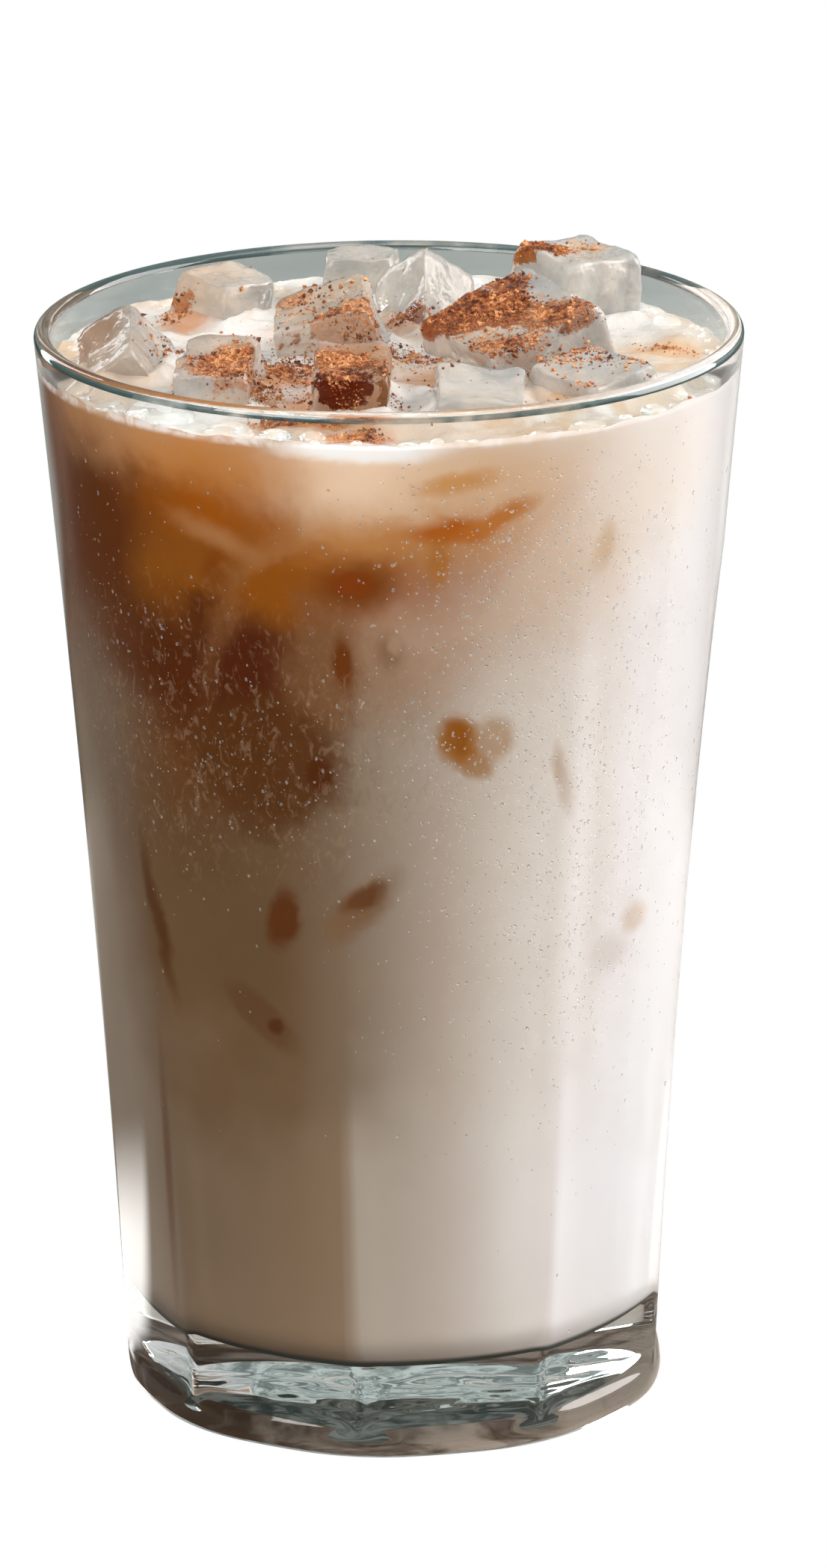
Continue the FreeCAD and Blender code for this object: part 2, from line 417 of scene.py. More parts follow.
def panelRadius(local, cornerRadius, share):
    # distance from the axis to an outline of tangent arcs: a broad one for each panel and a tight one
    # at each corner
    half, crown = math.pi / tumbler["panels"], math.radians(tumbler["panelCrown"])
    turn = half - crown
    tight = share * cornerRadius
    spread = (math.cos(turn) - math.cos(half)) / (math.sin(half) - math.sin(turn))
    apothem = (cornerRadius - tight * (1.0 - math.cos(turn) - math.sin(turn) * spread)) / (
        math.cos(half) + math.sin(half) * spread)
    broad = (apothem * math.sin(half) - tight * math.sin(turn)) / (math.sin(half) - math.sin(turn))
    centre = apothem - broad
    edge = math.atan2(broad * math.sin(crown), centre + broad * math.cos(crown))
    onPanel = centre * np.cos(local) + np.sqrt(broad ** 2 - (centre * np.sin(local)) ** 2)
    fromCorner, reach = half - np.abs(local), cornerRadius - tight
    inside = np.maximum(tight ** 2 - (reach * np.sin(fromCorner)) ** 2, 0.0)
    return np.where(np.abs(local) <= edge, onPanel, reach * np.cos(fromCorner) + np.sqrt(inside))


def ring(radius, angles, z):
    radius = np.broadcast_to(radius, angles.shape)
    return np.stack([radius * np.sin(angles), -radius * np.cos(angles), np.full(angles.shape, z)], -1)


def innerOutline(top, count):
    # radius and height pairs from the middle of the cavity's floor, round its corner and up the wall
    low, corner, counts = tumbler["floor"], tumbler["cavityCorner"], tumbler["rings"]
    slope = math.atan2(innerRadius(tumbler["height"]) - tumbler["cavityFoot"], tumbler["height"])
    centreR = innerRadius(low) - corner * math.tan((math.pi / 2.0 - slope) / 2.0)
    outline = [(r, low) for r in np.linspace(tumbler["centreHole"], centreR, counts["floor"])]
    for turn in np.linspace(-math.pi / 2.0, -slope, counts["corner"])[1:]:
        outline.append((centreR + corner * math.cos(turn), low + corner + corner * math.sin(turn)))
    outline += [(innerRadius(z), z) for z in np.linspace(outline[-1][1], top, count)[1:]]
    return outline


def onFloor(z):
    return z < tumbler["floor"] + 0.01


def makeTumbler():
    angles, local = panelAngles()
    t, counts = tumbler, tumbler["rings"]
    rings = []
    # hollow under the foot, then the ring that it stands on
    for r in np.linspace(t["centreHole"], t["puntRadius"], counts["hollow"]):
        flat = ring(r, angles, 0.0)
        share = r / t["puntRadius"]
        waves = t["puntWaves"] * wobble(flat, 5.0, 3) * (1.0 - share ** 4)
        flat[:, 2] = np.maximum(t["puntDepth"] * (1.0 - share ** 2) + waves, 0.0)
        rings.append(flat)
    heelShare = cornerShare(t["heelHeight"])

    def heelRing(a):
        drop = math.cos(a)
        inset = t["heelInset"] * (1.0 - math.sin(a))
        share = heelShare + (t["heelShare"] - heelShare) * (1.0 - (1.0 - drop) ** 3)
        return panelRadius(local, outerRadius(t["heelHeight"]) - inset, share), t["heelHeight"] * (1.0 - drop)

    footRing = heelRing(0.0)[0]
    for k in (0.35, 0.7):
        rings.append(ring(t["puntRadius"] + (footRing - t["puntRadius"]) * k, angles, 0.0))
    for a in np.linspace(0.0, math.pi / 2.0, counts["heel"]):
        radius, z = heelRing(a)
        rings.append(ring(radius, angles, z))
    for z in np.linspace(t["heelHeight"], t["panelTop"], counts["wall"])[1:]:
        rings.append(ring(panelRadius(local, outerRadius(z), cornerShare(z)), angles, z))
    lip = t["lip"] / 2.0
    shoulder = t["height"] - lip
    for z in np.linspace(t["panelTop"], shoulder, counts["rim"])[1:]:
        rings.append(ring(outerRadius(z), angles, z))
    middle = (outerRadius(shoulder) + innerRadius(shoulder)) / 2.0
    halfLip = (outerRadius(shoulder) - innerRadius(shoulder)) / 2.0
    for a in np.linspace(0.0, math.pi, counts["lip"])[1:]:
        rings.append(ring(middle + halfLip * math.cos(a), angles, shoulder + lip * math.sin(a)))
    for r, z in innerOutline(shoulder, counts["cavity"])[::-1][1:]:
        inner = ring(r, angles, z)
        if onFloor(z):
            inner[:, 2] += t["floorWaves"] * wobble(inner, 6.0, 5) * min(1.0, (innerRadius(z) - r) / 8.0)
        rings.append(inner)
    points, faces = closeRings(rings, rings[0][:, 2].mean(), rings[-1][:, 2].mean())
    shade = Shade("clearGlass")
    clear = shade.principled({"Base Color": t["tint"], "Roughness": 0.0, "IOR": t["ior"],
                              "Transmission Weight": 1.0})
    place(makePiece("tumbler", points, faces, [shade.surface(clear)]), "glass", "glass", clear=True)


makeTumbler()


# how bright the lamps leave the drink at some angles round it and at some heights, and what the glass adds
# by its own shine: these turn a wanted look into a colour
lamplight = {
    "around": ((-90.0, 0.95), (-66.0, 1.02), (-50.0, 1.03), (-30.0, 1.07), (-12.0, 1.05), (-3.0, 0.99),
               (4.0, 0.95), (13.0, 0.94), (22.0, 0.98), (32.0, 1.03), (42.0, 1.10), (53.0, 1.25),
               (65.0, 1.45), (73.0, 1.58), (90.0, 1.65), (180.0, 0.8)),
    "upwards": ((60.0, 0.97), (96.0, 1.0), (122.0, 1.06)),
    "shine": ((-50.0, 0.004), (35.0, 0.005), (48.0, 0.016), (60.0, 0.03), (75.0, 0.09)),
    "warmth": (1.0, 1.0, 0.95), "direct": 0.82, "bounced": 0.2, "brightest": 0.93,
}


def tone(red, green, blue, turn=None, height=96.0):
    # linear colour from display values of 0 to 255; with an angle, what is painted there to look so when lit
    linear = [((value / 255.0 + 0.055) / 1.055) ** 2.4 for value in (red, green, blue)]
    if turn is not None:
        light, rise, shine = (float(np.interp(at, *zip(*lamplight[key])))
                              for at, key in ((turn, "around"), (height, "upwards"), (turn, "shine")))
        linear = [max(value - shine, 0.001) / (light * rise * warmth * lamplight["direct"]
                                               + value * lamplight["bounced"])
                  for value, warmth in zip(linear, lamplight["warmth"])]
    return tuple(value * min(1.0, lamplight["brightest"] / max(linear)) for value in linear)


ice = {
    "taper": 0.84, "edge": 2.7, "hollow": 1.0, "lump": 0.95, "steps": 30,
    # each cube: centre and sides in mm, turn about the upright, then tip about x and about y in degrees
    "cubes": {
        "ice_left": ((-33.4, -3.4, 135.2), (12.0, 16.5, 11.0), 0.0, (18.0, -35.0)),
        "ice_front_left": ((-21.0, -17.6, 133.2), (12.6, 18.5, 17.0), -8.0, (6.0, -4.0)),
        "ice_small": ((-17.8, -3.7, 132.0), (6.0, 6.0, 12.0), -8.0, (4.0, 4.0)),
        "ice_back_left": ((-21.8, 24.0, 132.2), (12.8, 12.5, 19.0), 46.0, (2.0, 8.0)),
        "ice_middle": ((-6.3, 3.9, 134.0), (16.4, 17.0, 19.0), 1.0, (7.0, -18.0)),
        "ice_back": ((-3.2, 33.9, 132.7), (12.5, 11.0, 18.5), -8.0, (-3.0, -2.0)),
        "ice_back_right": ((5.2, 21.8, 134.2), (13.5, 11.5, 18.0), 46.0, (-50.0, -1.0)),
        "ice_right": ((16.6, -0.8, 134.5), (22.0, 20.5, 18.0), 36.0, (16.0, -9.0)),
        "ice_high": ((23.5, 23.1, 135.0), (15.6, 15.2, 19.5), 37.0, (2.0, 6.0)),
        "ice_front": ((10.6, -22.5, 130.4), (15.0, 17.0, 18.0), 0.0, (8.0, 6.0)),
        "ice_front_right": ((26.0, -16.0, 130.9), (14.5, 15.5, 18.0), 40.0, (9.0, -4.0)),
        "ice_near": ((-4.8, -21.2, 133.4), (12.4, 17.5, 17.0), 0.0, (6.0, 1.0)),
    },
    # tints inside the ice: centre and half sizes in mm, strength and look
    "tints": (
        ((-38, 0, 139), (6, 9, 5), 0.8, (168, 132, 104)),
        ((-33, -8, 137), (7, 6, 5), 0.4, (206, 182, 160)),
        ((-24, -14, 141), (7, 10, 4), 0.5, (196, 168, 142)),
        ((9, -27, 131.5), (9, 4, 5), 0.7, (240, 206, 168)),
        ((-8, 5, 142), (9, 9, 5), 0.6, (214, 190, 162)),
        ((-25, 25, 138), (7, 8, 5), 0.6, (226, 196, 166)),
        ((-3, 34, 138), (7, 7, 6), 0.6, (206, 200, 192)),
        ((-4, -22, 137), (8, 10, 7), 0.85, (186, 128, 76)),
        ((-17, -21, 135), (8, 8, 5), 0.5, (218, 186, 154)),
        ((13, -3, 139), (10, 8, 4), 0.4, (232, 204, 172)),
    ),
}


def cubeGrid(steps):
    # points over a cube from -1 to 1, with shared edges, and its quads
    line = np.linspace(-1.0, 1.0, steps)
    index, points, faces = {}, [], []

    def number(point):
        key = tuple(np.round(point, 5))
        if key not in index:
            index[key] = len(points)
            points.append(point)
        return index[key]

    for axis in range(3):
        for side in (-1.0, 1.0):
            numbers = np.zeros((steps, steps), int)
            for i, u in enumerate(line):
                for j, v in enumerate(line):
                    point = np.zeros(3)
                    point[axis], point[(axis + 1) % 3], point[(axis + 2) % 3] = side, u, v
                    numbers[i, j] = number(point)
            for i in range(steps - 1):
                for j in range(steps - 1):
                    quad = [numbers[i, j], numbers[i + 1, j], numbers[i + 1, j + 1], numbers[i, j + 1]]
                    faces.append(quad if side > 0 else quad[::-1])
    return np.array(points), faces


def meltedCube(cube, grid, seed):
    # a tapered block with round edges, hollowed faces and uneven melting, in place
    centre, sides, turn, tip = cube
    edge, lump, taper = ice["edge"], ice["lump"], ice["taper"]
    half = np.array(sides) / 2.0
    outward = grid * half
    core = np.clip(outward, -(half - edge), half - edge)
    over = outward - core
    normal = over / np.maximum(np.linalg.norm(over, axis=1, keepdims=True), 1e-9)
    shape = core + normal * edge
    # each face sinks towards its middle
    flat = np.sort(np.abs(grid), axis=1)
    sink = ice["hollow"] * np.clip(1.0 - flat[:, 0] ** 2, 0, 1) * np.clip(1.0 - flat[:, 1] ** 4, 0, 1)
    dents = lump * (wobble(shape, 7.0, seed) - 0.45) + lump * 0.25 * wobble(shape, 2.2, seed + 1)
    shape = shape + normal * (dents - sink)[:, None]
    shape[:, :2] *= (1.0 + taper) / 2.0 + (taper - 1.0) / 2.0 * shape[:, 2:3] / half[2]
    turned = Matrix.Identity(3)
    for degrees, axis in ((tip[0], "X"), (tip[1], "Y"), (turn, "Z")):
        turned = turned @ Matrix.Rotation(math.radians(degrees), 3, axis)
    return shape @ np.array(turned).T + np.array(centre)


cinnamon = {
    "fine": (0.08, 0.20), "coarse": (0.20, 0.44), "spread": 0.48, "cut": 1.7, "lean": 0.38, "above": 30.0,
    "lowest": drinkLevel - 0.8, "widest": 41.4, "seed": 16,
    "browns": ((0.0, (76, 32, 10)), (0.3, (138, 74, 32)), (0.7, (172, 104, 54)), (1.0, (206, 150, 100))),
    # each patch: centre and half sizes in mm, turn in degrees, fine grains, coarse flecks, and where it
    # stains the ice, how strongly and its look
    "patches": {
        "mound": ((8.6, -1.8, 142.5), (8.6, 5.8, 4), 0, 2600, 130, 0.95, (158, 76, 26)),
        "moundDark": ((13.6, -0.8, 143.5), (4.2, 3.4, 3), 25, 1300, 90, 1.0, (96, 28, 4)),
        "moundBack": ((15, 4, 145), (3.2, 2.6, 3), 0, 500, 40, 0.8, (170, 92, 38)),
        "moundRight": ((21, -5.5, 143.5), (6.8, 4.2, 3.5), -30, 1500, 130, 0.8, (176, 104, 52)),
        "moundFront": ((15, -10.8, 140.5), (7, 3.4, 4), -12, 1000, 130, 0.4, (206, 150, 98)),
        "scatter": ((21.5, -13, 139.5), (7.5, 5, 5), -10, 560, 150),
        "frontRight": ((23.2, -23, 137.5), (3.6, 3.2, 3), 0, 60, 46, 0.15, (200, 150, 100)),
        "rightRim": ((31, -17, 137.5), (4, 5, 3), 0, 30, 22),
        "front": ((9.6, -16, 139), (4.6, 2.2, 3), 0, 60, 26),
        "backRight": ((2.6, 16.6, 137), (2.8, 2.4, 3), 0, 260, 24, 0.7, (164, 84, 30)),
        "high": ((19.6, 23, 144), (4.6, 2.6, 3), 12, 420, 30, 1.0, (172, 88, 24)),
        "highPale": ((25.6, 26.5, 143), (3.0, 2.0, 3), 0, 40, 8, 0.5, (226, 176, 120)),
        "frontLeft": ((-19.2, -20.6, 140.5), (6.2, 7.0, 5), 0, 1500, 190, 0.6, (200, 128, 68)),
        "frontLeftTop": ((-20, -17.5, 140.5), (4.6, 1.8, 3), 8, 420, 50, 0.85, (150, 74, 22)),
        "band": ((-13.5, -6.5, 138), (6.5, 3.0, 4), 6, 1300, 90, 0.85, (150, 84, 36)),
        "middle": ((-4.6, -3.5, 141), (6.0, 4.0, 4), 18, 1100, 90, 0.65, (190, 118, 60)),
        "nearTop": ((-5.5, -22.5, 142), (5.0, 4.6, 2.5), 0, 900, 90, 0.75, (176, 106, 54)),
        "nearWet": ((-5.4, -27.5, 139.2), (3.6, 2.2, 3.4), 0, 520, 60, 1.0, (84, 20, 2)),
        "nearSide": ((0.4, -25.5, 138), (2.6, 4, 4), 0, 60, 10, 0.9, (132, 74, 20)),
        "film": ((-7.5, -31.4, 135.3), (9.5, 1.0, 2), 0, 900, 50),
        "filmEnd": ((-4, -37.4, 135.5), (3.4, 2.6, 2), 20, 420, 30),
        "ring": ((-10, -12, 135), (3.5, 3, 2), 0, 140, 26),
        "leftSmall": ((-27.5, 21.4, 137.5), (2.4, 2.0, 2.5), 0, 160, 14, 0.85, (196, 112, 44)),
        "middleBack": ((-12, 7.4, 140.5), (2.6, 2.2, 3), 0, 60, 6, 0.6, (214, 140, 84)),
        "left": ((-28.5, 0.5, 137), (3, 6, 4), 0, 60, 40),
        "speckles": ((-8, 4, 142), (8, 8, 3), 0, 120, 46),
        "rightTan": ((35.5, 6, 135), (5, 2, 2), -20, 110, 8),
        "strays": ((0, 0, 137), (38, 38, 8), 0, 240, 90),
    },
}


def makeIceMaterial():
    shade = Shade("milkyIce")
    where = shade.position()
    cloudy = shade.noise(where, 0.14, 3.0, 0.6)
    body = shade.mix(shade.step(cloudy, 0.38, 0.62), tone(198, 198, 196), tone(224, 218, 210))
    moved = shade.shift(where, shade.noise(where, 0.16, 2.0, 0.6, 0.5, out="Color"), 5.0)
    for centre, half, strength, look in ice["tints"]:
        body = shade.mix(shade.blob(moved, centre, half, 0.5, strength), body, tone(*look))
    powder = shade.noise(where, 0.85, 3.0, 0.7) * 0.9
    ragged = shade.shift(where, shade.noise(where, 0.3, 3.0, 0.65, 0.3, out="Color"), 4.5)
    for centre, half, turn, _, _, *stain in cinnamon["patches"].values():
        if stain:
            strength, look = stain
            reach = shade.blob(ragged, centre, half, 0.45, 1.0, (0.0, 0.0, math.radians(turn)))
            grains = shade.step(reach + powder, 1.12 - 0.35 * strength, 1.32 - 0.35 * strength)
            body = shade.mix(grains * strength, body, tone(*look))
    rough = shade.step(shade.noise(where, 0.7, 2.0), 0.35, 0.65, 0.03, 0.12)
    wet = shade.principled({"Base Color": body, "Roughness": rough, "IOR": 1.31, "Transmission Weight": 0.62,
                            "Normal": shade.bump(shade.noise(where, 0.32, 3.0, 0.55), 0.45)})
    return shade.surface(wet)


def makeIce():
    material = makeIceMaterial()
    grid, faces = cubeGrid(ice["steps"])
    for seed, (name, cube) in enumerate(ice["cubes"].items()):
        piece = makePiece(name + "_melted", meltedCube(cube, grid, seed * 3 + 1), faces, [material])
        place(piece, "ice", name)


makeIce()


drink = {
    "reach": 0.2, "sideSteps": 288, "rows": 120, "slush": 0.8, "climb": 1.5, "cling": 1.4,
    "edge": 5.0, "edgeRings": 22, "middleRings": 60, "edgeFade": 1.3,
    # looks round the side from angle -180 to 180: low down, where the panels break the light, and higher up;
    # the drink's own colours with painted shade darkening the left, and low down painted steps of shade and
    # light at the panel corners
    "lowLooksPaintedShade": (
        (-180, (176, 160, 142)), (-125, (142, 122, 100)), (-75, (130, 116, 100)), (-52, (110, 92, 72)),
        (-22, (118, 98, 76)), (-10.4, (127, 106, 84)), (-8.4, (166, 154, 138)), (10, (181, 170, 156)),
        (30, (213, 207, 198)), (35.5, (216, 209, 201)), (37, (244, 240, 238)), (46, (236, 232, 229)),
        (70, (252, 252, 250)), (120, (232, 222, 210)), (180, (176, 160, 142)),
    ),
    "highLooksPaintedShade": (
        (-180, (176, 158, 138)), (-125, (136, 114, 90)), (-75, (124, 108, 90)), (-55, (94, 70, 46)),
        (-22, (98, 75, 51)), (-10, (116, 98, 78)), (0, (148, 133, 116)), (10, (170, 155, 139)),
        (20, (192, 182, 168)), (30, (211, 202, 190)), (40, (224, 215, 205)), (50, (238, 232, 227)),
        (70, (252, 249, 246)), (120, (232, 222, 210)), (180, (176, 158, 138)),
    ),
    # clouds on the side, later ones over earlier ones: angle from the front towards the right in degrees,
    # height, half width and half height in mm, tilt in degrees, softness, strength, look
    "clouds": (
        # brown drink at the upper left, and the paler plume beside it
        (-45, 109, 24, 25, -12, 0.28, 1.0, (100, 64, 36)),
        (-64, 92, 9, 16, 0, 0.7, 0.8, (112, 94, 75)),
        (0, 113, 9, 12, 0, 0.6, 0.8, (142, 106, 76)),
        (16, 118, 14, 12, 0, 0.6, 0.75, (178, 150, 126)),
        (33, 124, 10, 12, 0, 0.7, 0.7, (208, 182, 156)),
        (48, 128, 12, 10, 0, 0.7, 0.7, (236, 222, 206)),
        (-10, 120.5, 15, 7, 0, 0.75, 0.95, (138, 74, 20)),
        (2, 125, 15, 5, 0, 0.8, 0.9, (176, 122, 70)),
        (-6, 132, 17, 5.0, 0, 0.75, 1.0, (222, 192, 160)),
        (17, 131, 10, 5.0, 0, 0.8, 0.8, (196, 160, 124)),
        (-50, 134, 21, 5.2, 0, 0.7, 1.0, (166, 120, 80)),
        (-32, 130.5, 10, 4.4, 0, 0.8, 0.95, (174, 114, 58)),
        (-36, 125.0, 9, 4.2, 0, 0.8, 0.95, (144, 76, 16)),
        (-62, 119, 13, 13, 0, 0.6, 0.9, (84, 42, 12)),
        (-76, 130, 5, 8, 0, 0.7, 0.8, (106, 56, 20)),
        (-40, 116, 6, 6, 10, 0.7, 0.95, (126, 72, 22)),
        (-30.5, 117.6, 2.1, 2.6, 0, 0.7, 0.9, (96, 46, 10)),
        (-34, 112.4, 2.4, 2.6, 0, 0.7, 0.9, (84, 42, 10)),
        (-40, 103.5, 12, 8, 0, 0.7, 0.95, (76, 36, 8)),
        (-22, 118, 7, 6, 0, 0.8, 0.8, (134, 74, 16)),
        (-26, 106.5, 6.4, 6.4, 0, 0.55, 1.0, (76, 34, 5)),
        (-13, 106.5, 4.2, 8, 0, 0.7, 0.85, (116, 80, 50)),
        (-24, 92.5, 10.5, 9, 18, 0.3, 0.9, (81, 47, 21)),
        (-50, 82, 12, 10, 0, 0.8, 0.5, (88, 62, 38)),
        # pale threads
        (-31.6, 122.4, 5.2, 1.3, -18, 0.9, 0.5, (178, 132, 86)),
        (-21.3, 121.9, 6.0, 1.4, 40, 0.95, 0.35, (166, 120, 76)),
        (-30.6, 111.8, 8.6, 1.2, 72, 0.95, 0.38, (138, 94, 54)),
        # dark spots
        (-6, 117.2, 4.4, 3.2, 0, 0.7, 0.9, (106, 54, 16)),
        (-6.8, 117.6, 2.4, 1.5, -8, 0.5, 0.8, (120, 54, 18)),
        (-8.8, 107, 1.2, 3.4, 6, 0.5, 0.95, (100, 50, 14)),
        (-13.2, 92.2, 1.7, 2.3, 0, 0.3, 0.95, (76, 38, 14)),
        (-0.3, 108.6, 1.8, 2.4, 0, 0.6, 0.6, (112, 80, 56)),
        (0.6, 109.6, 0.9, 1.2, 0, 0.6, 0.6, (168, 140, 112)),
        # spice showing through the pale part
        (11.5, 130.6, 4.8, 1.3, 8, 0.7, 0.9, (182, 128, 72)),
        (10.5, 124.3, 4.8, 1.6, 0, 0.55, 1.0, (158, 84, 28)),
        (18.5, 125.6, 4.8, 1.3, 22, 0.6, 0.95, (170, 104, 46)),
        (8.3, 120.4, 1.4, 2.9, 0, 0.6, 0.9, (156, 100, 46)),
        (38.6, 119.3, 1.3, 2.9, -22, 0.6, 0.8, (194, 164, 130)),
        (12.6, 96, 2.9, 3.7, 20, 0.35, 1.0, (140, 92, 46)),
        (12.2, 96.6, 1.4, 2.2, 10, 0.6, 0.9, (128, 72, 20)),
        (19.4, 96.4, 2.4, 2.9, 0, 0.4, 0.9, (160, 132, 104)),
        (15.8, 92.8, 2.0, 1.7, 0, 0.5, 0.9, (146, 108, 72)),
        (33.6, 89.7, 1.1, 4.6, 15, 0.6, 0.85, (166, 140, 114)),
        (-21.6, 72.4, 1.9, 4.2, -20, 0.4, 1.0, (86, 48, 24)),
        (-17.2, 79, 1.7, 2.0, 0, 0.7, 0.6, (104, 82, 60)),
        (-6.6, 74.2, 5.5, 2.2, 44, 0.6, 0.8, (112, 82, 54)),
        (-5.6, 75.8, 2.7, 1.3, 36, 0.5, 0.85, (90, 52, 28)),
        (-28, 58.3, 5.9, 2.2, -41, 0.4, 0.85, (92, 64, 40)),
        (-24.6, 57, 1.1, 0.9, 0, 0.5, 0.9, (78, 44, 20)),
        (55.7, 67.9, 2.4, 1.8, 0, 0.6, 0.7, (206, 180, 154)),
        (48.1, 64.1, 3.2, 2.4, 0, 0.6, 0.6, (204, 192, 182)),
        (-52.5, 69, 1.1, 9, 10, 0.7, 0.85, (76, 46, 24)),
        # a painted dark line of shade along a panel corner
        (-56, 34, 1.0, 15, -2, 0.7, 0.75, (90, 60, 38)),
        # painted shade and a painted highlight along the corner between the two right panels, seen higher up
        (33.9, 74, 1.5, 24, 0, 0.95, 0.4, (204, 193, 180)),
        (37.4, 72, 2.0, 30, 0, 0.95, 0.5, (246, 241, 237)),
        # the sides that face away
        (-112, 112, 20, 20, 10, 0.5, 0.9, (120, 76, 40)),
        (-150, 121, 16, 9, -12, 0.6, 0.85, (150, 92, 36)),
        (-118, 100, 7, 6, 0, 0.5, 0.9, (92, 50, 20)),
        (-135, 117, 8, 1.1, 28, 0.6, 0.7, (186, 146, 104)),
        (172, 114, 13, 12, 0, 0.6, 0.7, (196, 160, 122)),
        (150, 124, 11, 3.5, -10, 0.5, 0.8, (188, 126, 66)),
        (118, 127, 9, 2.6, 8, 0.6, 0.7, (214, 168, 116)),
        (-170, 88, 3.2, 3.6, 20, 0.35, 0.9, (150, 104, 62)),
        (133, 92, 2.6, 3.4, -30, 0.35, 0.9, (196, 158, 118)),
        (-128, 70, 2.0, 4.6, 30, 0.4, 0.9, (112, 74, 44)),
        (95, 83, 1.3, 4.4, 12, 0.5, 0.7, (214, 188, 160)),
        (164, 62, 4.4, 1.8, 35, 0.4, 0.8, (186, 158, 130)),
        (-95, 88, 3.4, 2.6, 15, 0.35, 0.8, (92, 60, 36)),
    ),
    # tints on the top: centre and half sizes in mm, strength and look
    "topTints": (
        ((-36, -12, 135), (7, 14, 6), 0.6, (176, 150, 124)),
        ((-12, 12, 135), (5, 4, 6), 0.7, (186, 128, 76)),
        ((-20, 12, 135), (7, 5, 6), 0.7, (214, 214, 214)),
        ((-10, -34, 135), (14, 5, 6), 0.7, (176, 146, 118)),
        ((12, -36, 135), (14, 4, 6), 0.5, (182, 150, 120)),
        ((36, 4, 135), (6, 8, 6), 0.5, (196, 164, 128)),
        ((34, -18, 135), (6, 8, 6), 0.5, (204, 194, 182)),
        ((-28, -30, 135), (8, 6, 6), 0.7, (198, 200, 198)),
    ),
    # spice soaked into the top, in the same form
    "topSpice": (
        ((-13, -10, 136), (8, 4, 5), 0.8, (160, 98, 50)),
        ((-11, -25, 136), (4, 7, 5), 0.7, (172, 112, 62)),
        ((4, -9, 136), (5, 4, 5), 0.7, (178, 122, 76)),
        ((-8, -32, 136), (10, 1.4, 5), 0.8, (160, 102, 52)),
        ((-4, -37.5, 136), (4, 3, 5), 0.8, (170, 96, 40)),
        ((22, -20, 136), (7, 4, 5), 0.5, (196, 152, 110)),
        ((2, 16, 136), (5, 3, 5), 0.6, (176, 112, 60)),
        ((-26, 20, 136), (4, 3, 5), 0.7, (180, 116, 60)),
        ((35, 5, 136), (6, 3, 5), 0.6, (196, 148, 98)),
    ),
}


def makeSideMaterial():
    shade = Shade("horchata")
    where = shade.position()
    x, y, z = shade.split(where)
    turn = x.math("ARCTAN2", x, -y) / math.tau + 0.5
    # the side's colours round it, with painted shade on the left and painted steps of shade and light at the
    # panel corners
    low, high = (shade.add("ShaderNodeValToRGB", {"stops": [((angle + 180.0) / 360.0, tone(*look, angle))
                                                            for angle, look in drink[looks]]}, {0: turn})
                 for looks in ("lowLooksPaintedShade", "highLooksPaintedShade"))
    wavy = z + shade.noise(where, 0.08) * 30.0
    base = shade.mix(shade.step(wavy, 48.0, 78.0), low, high)
    # a broad unevenness, then the clouds over it
    broad = shade.noise(where, 0.05, 3.0, 0.55)
    base = shade.mix(shade.step(broad, 0.3, 0.7, 0.0, 0.10), base, tone(150, 120, 92, 0.0))
    swirl = shade.noise(where, 0.085, 3.0, 0.6, 0.4, out="Color")
    curl = shade.noise(where, 0.35, 2.0, 0.6, 0.6, out="Color")
    far = shade.shift(shade.shift(where, swirl, 8.0), curl, 2.0)
    near = shade.shift(shade.shift(where, swirl, 3.0), curl, 1.1)

    def swirled(height, across, up):
        # upright streaks stay straight, and large clouds and the high threads swirl more than small spots
        if up > 12.0 * across:
            return where
        thread = height > 100.0 and max(across, up) > 4.0 * min(across, up)
        return far if thread or min(across, up) > 4.0 else near

    for angle, height, across, up, tilt, soft, strength, look in drink["clouds"]:
        mask = shade.cloud(swirled(height, across, up), angle, height, across, up, tilt, soft, strength)
        base = shade.mix(mask, base, tone(*look, angle, height))
    # fine curls of froth under the glass, over the brown
    grain = shade.noise(shade.stretch(where, (1.0, 1.0, 0.6)), 0.75, 3.0, 0.65, 1.2)
    curly = shade.cloud(far, -32.0, 96.0, 26.0, 17.0, 0.0, 0.5, 0.17)
    base = shade.mix(curly * shade.step(grain, 0.52, 0.70), base, tone(190, 160, 128, 0.0))
    base = shade.mix(curly * shade.step(grain, 0.48, 0.32), base, tone(70, 40, 20, 0.0))
    # foam at the top edge, painted shade as a dark line round the foot where glass meets drink, and the
    # underside painted a mottled dark and pale green as painted shade and reflection of the thick glass
    foam = shade.step(z, drinkLevel - 0.5, drinkLevel + 0.3) * shade.step(curl, 0.4, 0.6, 0.2, 0.8)
    base = shade.mix(foam, base, tone(208, 200, 192, 0.0))
    lather = shade.cloud(near, -5.0, drinkLevel, 9.0, 1.6, 0.0, 0.5, 0.9)
    base = shade.mix(lather, base, tone(226, 226, 222, 0.0))
    # painted shade: a dark line round the foot
    base = shade.mix(shade.step(z, drinkFoot + 1.7, drinkFoot + 0.9), base, (0.05, 0.06, 0.055))
    # painted shade and reflection of the thick glass on the underside
    mottle = shade.step(shade.noise(where, 0.2, 4.0, 0.6, 0.8), 0.40, 0.62)
    paintedUnderside = shade.mix(mottle, (0.07, 0.10, 0.10), (0.44, 0.50, 0.48))
    base = shade.mix(shade.step(z, drinkFoot + 0.3, drinkFoot - 0.1), base, paintedUnderside)
    return shade.surface(shade.principled({"Base Color": base, "Roughness": 0.5, "Specular IOR Level": 0.0}))


